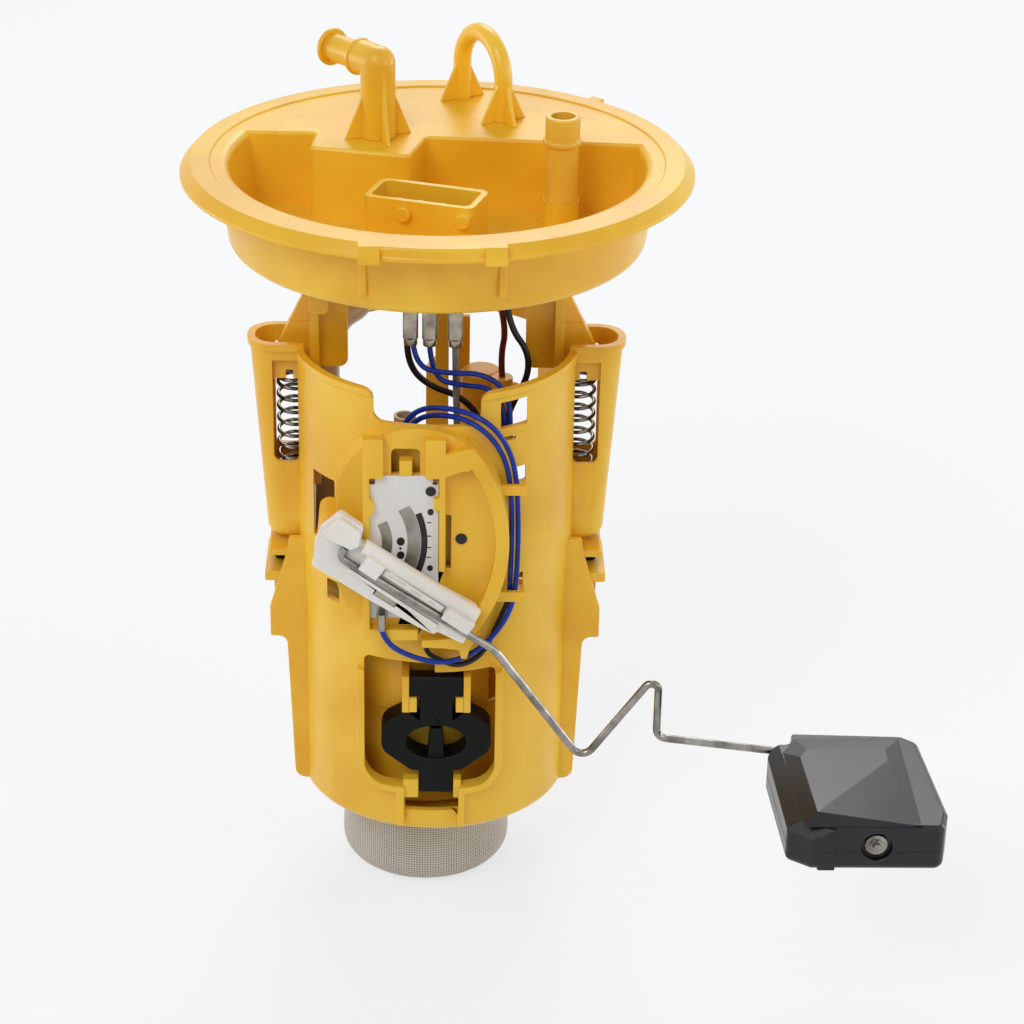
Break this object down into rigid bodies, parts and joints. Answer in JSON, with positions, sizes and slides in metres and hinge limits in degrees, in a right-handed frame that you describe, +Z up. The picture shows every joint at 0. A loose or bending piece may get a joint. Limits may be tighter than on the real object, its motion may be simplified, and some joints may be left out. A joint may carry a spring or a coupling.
{
  "type": "fuel pump module",
  "caption": "In-tank fuel pump module: round flange with pipes and plug socket, spring-loaded pump pot with strainer, and level sender with a float on a wire arm",
  "frame": {"origin": "on the module's upright axis, at the underside of the flange rim that seals on the tank", "axes": "+Z up along the module's axis, -Y towards the level sender, +X towards the float"},
  "size_m": [0.2085, 0.1666, 0.2457],
  "materials": {
    "moulding": "ochre yellow moulded plastic, satin",
    "pot_moulding": "warm yellow moulded plastic, satin",
    "pale_moulding": "paler translucent plastic",
    "white_moulding": "milky white moulded plastic",
    "dark_moulding": "black moulded plastic",
    "float_plastic": "dark grey moulded plastic, satin",
    "tan_plastic": "translucent tan plastic",
    "strainer_frame": "grey beige plastic",
    "mesh": "fine woven mesh",
    "rubber": "black rubber",
    "ceramic": "white glazed ceramic, stored as gloss plastic",
    "carbon": "black printed track",
    "track_metal": "grey printed metal",
    "steel": "bright drawn steel",
    "can": "plated steel can",
    "pin_metal": "tin-plated brass",
    "terminal_metal": "plated terminal metal",
    "blue_lead": "blue insulation",
    "black_lead": "black insulation",
    "brown_lead": "brown insulation",
    "grey_lead": "grey insulation"
  },
  "bodies": {
    "flange": {"flange_cover": "moulding", "supply_elbow": "moulding", "lift_loop": "moulding", "return_nipple": "pale_moulding", "connector_shroud": "moulding", "contact_pins": "pin_metal", "blade_terminals": "terminal_metal", "left_guide_leg": "moulding", "right_guide_leg": "moulding"},
    "pot": {"pot_shell": "pot_moulding", "pump_holder": "pot_moulding", "fuel_pump": "can", "pump_end_cap": "dark_moulding", "pump_base": "dark_moulding", "vent_tube": "tan_plastic", "power_plug": "pot_moulding", "strainer_collar": "strainer_frame", "strainer_mesh": "mesh", "front_rubber_mount": "rubber", "right_rubber_mount": "rubber", "left_rubber_mount": "rubber", "sender_frame": "pot_moulding", "resistor_card": "ceramic", "contact_tracks": "track_metal", "resistor_track": "carbon", "sender_rivets": "carbon", "sender_terminal": "terminal_metal", "left_spring": "steel", "right_spring": "steel", "fuel_hose": "tan_plastic", "blue_lead_a_upper": "blue_lead", "blue_lead_b_upper": "blue_lead", "blue_lead_a_lower": "blue_lead", "blue_lead_b_lower": "blue_lead", "black_lead_end": "black_lead", "black_pump_lead": "black_lead", "black_side_lead": "black_lead", "brown_lead": "brown_lead", "grey_lead": "grey_lead"},
    "sender_arm": {"float_lever": "white_moulding", "wiper_contacts": "track_metal", "float_wire": "steel", "lock_washer": "steel"},
    "float": {"float_upper_half": "float_plastic", "float_lower_half": "float_plastic"}
  },
  "joints": [
    {"name": "pot_slide", "type": "slide", "parent": "flange", "child": "pot", "axis": [0, 0, 1], "range_m": [0, 0.015], "stiffness_N_per_m": 500, "springref_m": -0.02, "deforming": ["left_spring", "right_spring", "fuel_hose", "blue_lead_a_upper", "blue_lead_b_upper", "black_pump_lead", "black_side_lead", "brown_lead", "grey_lead"]},
    {"name": "float_arm", "type": "hinge", "parent": "pot", "child": "sender_arm", "pos_m": [-0.0264, -0.0485, -0.0916], "axis": [0, -1, 0], "range_deg": [0, 50]},
    {"name": "float_swivel", "type": "hinge", "parent": "sender_arm", "child": "float", "pos_m": [0.1186, -0.075, -0.1559], "axis": [0, -1, 0], "range_deg": [-70, 2]}
  ]
}
